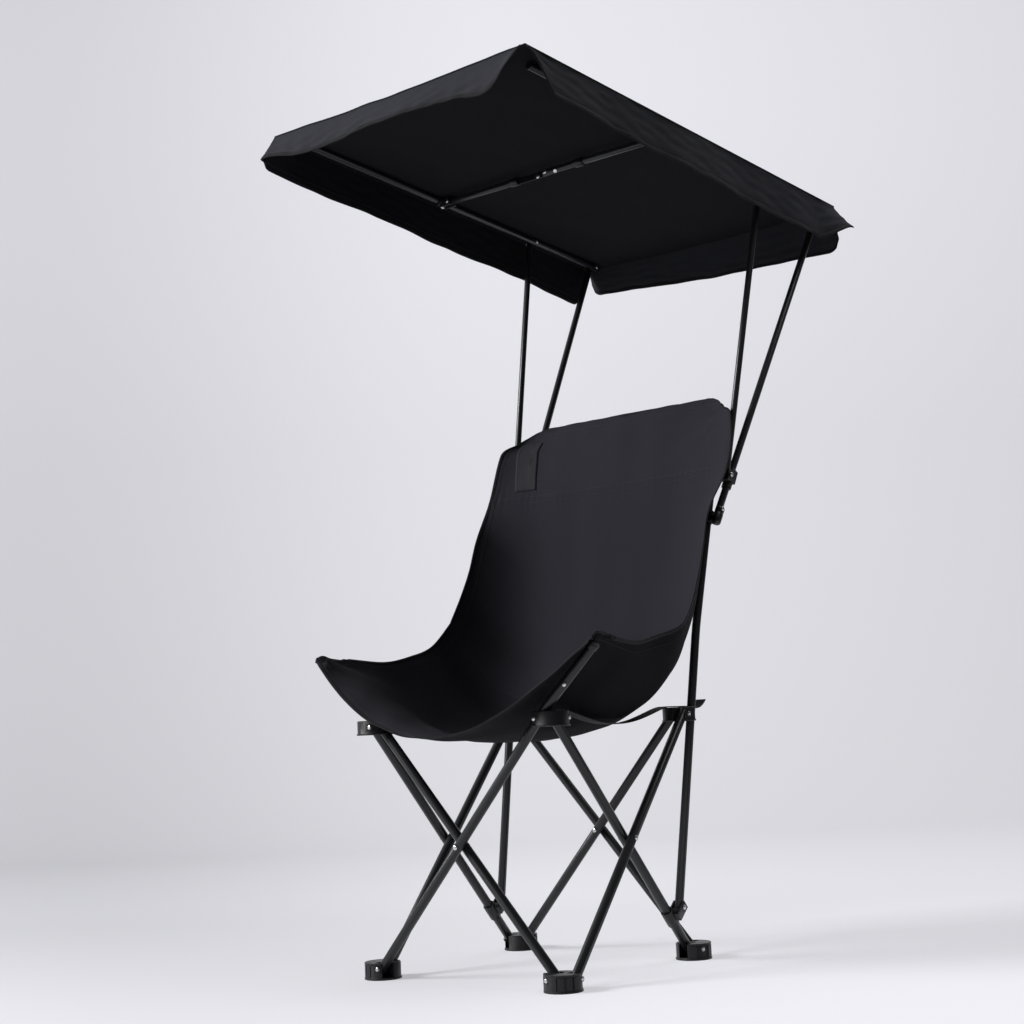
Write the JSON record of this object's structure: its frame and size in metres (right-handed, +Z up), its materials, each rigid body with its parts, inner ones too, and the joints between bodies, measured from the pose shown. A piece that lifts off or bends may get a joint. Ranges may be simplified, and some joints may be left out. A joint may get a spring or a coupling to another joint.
{
  "type": "folding camp chair with sun canopy",
  "caption": "Low folding sling chair with crossed tube legs, plastic feet and hubs, rear posts and a tilting fabric canopy on slanted masts with struts.",
  "frame": {"origin": "on the floor, below the middle of the whole chair's box", "axes": "+Z up, -Y the way the sitter faces, +X the sitter's left"},
  "size_m": [0.6178, 0.997, 1.4435],
  "materials": {
    "graphite_paint": "satin dark graphite powder coat on thin round steel tube",
    "black_plastic": "matte black moulded plastic",
    "rivet_steel": "bright zinc plated steel rivets",
    "sling_cloth": "near-black woven polyester, matte",
    "canopy_cloth": "near-black coated polyester, matte",
    "webbing": "black woven polypropylene webbing"
  },
  "bodies": {
    "rear_left_foot": {"rear_left_foot": "black_plastic"},
    "left_leg_to_front": {"left_leg_to_front": "graphite_paint", "left_crossing_rivet": "rivet_steel", "left_post_bracket": "graphite_paint", "left_post_pin": "rivet_steel"},
    "left_leg_to_rear": {"left_leg_to_rear": "graphite_paint"},
    "front_left_hub": {"front_left_hub": "black_plastic"},
    "left_post": {"left_post": "graphite_paint", "left_mast_collar": "black_plastic", "left_mast_foot_pin": "rivet_steel", "sling_back": "sling_cloth"},
    "sling_seat": {"sling_seat": "sling_cloth"},
    "front_left_foot": {"front_left_foot": "black_plastic"},
    "rear_left_hub": {"rear_left_hub": "black_plastic", "left_seat_strap": "webbing"},
    "rear_leg_to_right": {"rear_leg_to_right": "graphite_paint", "rear_crossing_rivet": "rivet_steel"},
    "rear_leg_to_left": {"rear_leg_to_left": "graphite_paint"},
    "rear_right_foot": {"rear_right_foot": "black_plastic"},
    "rear_right_hub": {"rear_right_hub": "black_plastic", "right_seat_strap": "webbing"},
    "front_leg_to_right": {"front_leg_to_right": "graphite_paint", "front_crossing_rivet": "rivet_steel"},
    "front_leg_to_left": {"front_leg_to_left": "graphite_paint"},
    "front_right_foot": {"front_right_foot": "black_plastic"},
    "front_right_hub": {"front_right_hub": "black_plastic"},
    "right_leg_to_front": {"right_leg_to_front": "graphite_paint", "right_crossing_rivet": "rivet_steel", "right_post_bracket": "graphite_paint", "right_post_pin": "rivet_steel"},
    "right_leg_to_rear": {"right_leg_to_rear": "graphite_paint"},
    "right_post": {"right_post": "graphite_paint", "right_mast_collar": "black_plastic", "right_mast_foot_pin": "rivet_steel"},
    "left_mast": {"left_mast": "graphite_paint", "left_mast_head_pin": "rivet_steel"},
    "left_rail": {"left_rail": "graphite_paint", "left_rail_plug": "black_plastic", "left_rail_joint": "black_plastic", "left_strut_head_pin": "rivet_steel", "canopy_cloth": "canopy_cloth"},
    "left_strut": {"left_strut": "graphite_paint"},
    "left_strut_clip": {"left_strut_clip": "black_plastic"},
    "left_crossbar": {"left_crossbar": "graphite_paint", "left_crossbar_tongue": "black_plastic", "crossbar_rivet": "rivet_steel"},
    "right_mast": {"right_mast": "graphite_paint", "right_mast_head_pin": "rivet_steel"},
    "right_rail": {"right_rail": "graphite_paint", "right_rail_plug": "black_plastic", "right_rail_joint": "black_plastic", "right_strut_head_pin": "rivet_steel"},
    "right_strut": {"right_strut": "graphite_paint"},
    "right_strut_clip": {"right_strut_clip": "black_plastic"},
    "right_crossbar": {"right_crossbar": "graphite_paint", "right_crossbar_tongue": "black_plastic"}
  },
  "joints": [
    {"name": "frame_fold", "type": "hinge", "parent": "rear_left_foot", "child": "left_leg_to_front", "pos_m": [0.1824, -0.0225, 0.018], "axis": [-1, 0, 0], "range_deg": [0, 37], "deforming": ["sling_back", "sling_seat", "canopy_cloth", "left_seat_strap", "right_seat_strap"]},
    {"name": "left_scissor", "type": "hinge", "parent": "left_leg_to_front", "child": "left_leg_to_rear", "pos_m": [0.199, -0.1955, 0.214], "axis": [1, 0, 0], "range_deg": [0, 74]},
    {"name": "front_left_hub_turn", "type": "hinge", "parent": "left_leg_to_front", "child": "front_left_hub", "pos_m": [0.1824, -0.3685, 0.41], "axis": [1, 0, 0], "range_deg": [0, 37]},
    {"name": "left_post_turn", "type": "hinge", "parent": "left_leg_to_front", "child": "left_post", "pos_m": [0.1907, -0.0565, 0.08976], "axis": [1, 0, 0], "range_deg": [0, 47]},
    {"name": "front_left_foot_turn", "type": "hinge", "parent": "left_leg_to_rear", "child": "front_left_foot", "pos_m": [0.199, -0.3685, 0.018], "axis": [1, 0, 0], "range_deg": [-37, 0]},
    {"name": "rear_left_hub_turn", "type": "hinge", "parent": "left_leg_to_rear", "child": "rear_left_hub", "pos_m": [0.199, -0.0225, 0.41], "axis": [1, 0, 0], "range_deg": [-37, 0]},
    {"name": "rear_leg_turn", "type": "hinge", "parent": "rear_left_foot", "child": "rear_leg_to_right", "pos_m": [0.173, 0.0035, 0.018], "axis": [0, 1, 0], "range_deg": [0, 37]},
    {"name": "rear_scissor", "type": "hinge", "parent": "rear_leg_to_right", "child": "rear_leg_to_left", "pos_m": [0, 0.0035, 0.214], "axis": [0, 1, 0], "range_deg": [-74, 0]},
    {"name": "rear_right_foot_turn", "type": "hinge", "parent": "rear_leg_to_left", "child": "rear_right_foot", "pos_m": [-0.173, -0.0131, 0.018], "axis": [0, 1, 0], "range_deg": [0, 37]},
    {"name": "rear_right_hub_turn", "type": "hinge", "parent": "rear_leg_to_right", "child": "rear_right_hub", "pos_m": [-0.173, 0.0035, 0.41], "axis": [0, 1, 0], "range_deg": [-37, 0]},
    {"name": "front_leg_turn", "type": "hinge", "parent": "front_left_foot", "child": "front_leg_to_right", "pos_m": [0.173, -0.3779, 0.018], "axis": [0, 1, 0], "range_deg": [0, 37]},
    {"name": "front_scissor", "type": "hinge", "parent": "front_leg_to_right", "child": "front_leg_to_left", "pos_m": [0, -0.3945, 0.214], "axis": [0, 1, 0], "range_deg": [-74, 0]},
    {"name": "front_right_foot_turn", "type": "hinge", "parent": "front_leg_to_left", "child": "front_right_foot", "pos_m": [-0.173, -0.3945, 0.018], "axis": [0, 1, 0], "range_deg": [0, 37]},
    {"name": "front_right_hub_turn", "type": "hinge", "parent": "front_leg_to_right", "child": "front_right_hub", "pos_m": [-0.173, -0.3779, 0.41], "axis": [0, 1, 0], "range_deg": [-37, 0]},
    {"name": "right_leg_turn", "type": "hinge", "parent": "rear_right_foot", "child": "right_leg_to_front", "pos_m": [-0.199, -0.0225, 0.018], "axis": [1, 0, 0], "range_deg": [-37, 0]},
    {"name": "right_scissor", "type": "hinge", "parent": "right_leg_to_front", "child": "right_leg_to_rear", "pos_m": [-0.199, -0.1955, 0.214], "axis": [1, 0, 0], "range_deg": [0, 74]},
    {"name": "right_post_turn", "type": "hinge", "parent": "right_leg_to_front", "child": "right_post", "pos_m": [-0.1907, -0.0565, 0.08976], "axis": [1, 0, 0], "range_deg": [0, 47]},
    {"name": "seat_lift", "type": "hinge", "parent": "left_post", "child": "sling_seat", "pos_m": [0, -0.04047, 0.43993], "axis": [-1, 0, 0], "range_deg": [0, 74]},
    {"name": "mast_swing", "type": "hinge", "parent": "left_post", "child": "left_mast", "pos_m": [0.22916, 0.08137, 0.757], "axis": [1, 0, 0], "range_deg": [0, 15]},
    {"name": "canopy_tilt", "type": "hinge", "parent": "left_mast", "child": "left_rail", "pos_m": [0.2659, 0.4595, 1.395], "axis": [1, 0, 0], "range_deg": [-5, 7]},
    {"name": "left_strut_turn", "type": "hinge", "parent": "left_rail", "child": "left_strut", "pos_m": [0.27483, 0.23824, 1.40427], "axis": [1, 0, 0], "range_deg": [-9, 6]},
    {"name": "left_clip_slide", "type": "slide", "parent": "left_mast", "child": "left_strut_clip", "axis": [0.0684, 0.5087, 0.8582], "range_m": [-0.028, 0.02]},
    {"name": "left_crossbar_fold", "type": "hinge", "parent": "left_rail", "child": "left_crossbar", "pos_m": [0.23381, -0.0655, 1.413], "axis": [0, -1, 0], "range_deg": [0, 104]},
    {"name": "right_mast_swing", "type": "hinge", "parent": "right_post", "child": "right_mast", "pos_m": [-0.22916, 0.08137, 0.757], "axis": [1, 0, 0], "range_deg": [0, 15]},
    {"name": "right_rail_tilt", "type": "hinge", "parent": "right_mast", "child": "right_rail", "pos_m": [-0.2659, 0.4595, 1.395], "axis": [1, 0, 0], "range_deg": [-5, 7]},
    {"name": "right_strut_turn", "type": "hinge", "parent": "right_rail", "child": "right_strut", "pos_m": [-0.27483, 0.23824, 1.40427], "axis": [1, 0, 0], "range_deg": [-9, 6]},
    {"name": "right_clip_slide", "type": "slide", "parent": "right_mast", "child": "right_strut_clip", "axis": [-0.0684, 0.5087, 0.8582], "range_m": [-0.028, 0.02]},
    {"name": "right_crossbar_fold", "type": "hinge", "parent": "right_rail", "child": "right_crossbar", "pos_m": [-0.23381, -0.0655, 1.413], "axis": [0, 1, 0], "range_deg": [0, 104]}
  ],
  "couplings": [
    {"joint": "left_scissor", "follows": "frame_fold", "ratio": 2},
    {"joint": "front_left_hub_turn", "follows": "frame_fold", "ratio": 1},
    {"joint": "left_post_turn", "follows": "frame_fold", "ratio": 1.25},
    {"joint": "front_left_foot_turn", "follows": "frame_fold", "ratio": -1},
    {"joint": "rear_left_hub_turn", "follows": "frame_fold", "ratio": -1},
    {"joint": "rear_leg_turn", "follows": "frame_fold", "ratio": 1},
    {"joint": "rear_scissor", "follows": "frame_fold", "ratio": -2},
    {"joint": "rear_right_foot_turn", "follows": "frame_fold", "ratio": 1},
    {"joint": "rear_right_hub_turn", "follows": "frame_fold", "ratio": -1},
    {"joint": "front_leg_turn", "follows": "frame_fold", "ratio": 1},
    {"joint": "front_scissor", "follows": "frame_fold", "ratio": -2},
    {"joint": "front_right_foot_turn", "follows": "frame_fold", "ratio": 1},
    {"joint": "front_right_hub_turn", "follows": "frame_fold", "ratio": -1},
    {"joint": "right_leg_turn", "follows": "frame_fold", "ratio": -1},
    {"joint": "right_scissor", "follows": "frame_fold", "ratio": 2},
    {"joint": "right_post_turn", "follows": "frame_fold", "ratio": 1.25},
    {"joint": "seat_lift", "follows": "frame_fold", "ratio": 2},
    {"joint": "left_strut_turn", "follows": "canopy_tilt", "ratio": -1.19},
    {"joint": "left_clip_slide", "follows": "canopy_tilt", "m_per_rad": -0.225},
    {"joint": "left_crossbar_fold", "follows": "frame_fold", "ratio": 2.8},
    {"joint": "right_mast_swing", "follows": "mast_swing", "ratio": 1},
    {"joint": "right_rail_tilt", "follows": "canopy_tilt", "ratio": 1},
    {"joint": "right_strut_turn", "follows": "canopy_tilt", "ratio": -1.19},
    {"joint": "right_clip_slide", "follows": "canopy_tilt", "m_per_rad": -0.225},
    {"joint": "right_crossbar_fold", "follows": "frame_fold", "ratio": 2.8}
  ]
}
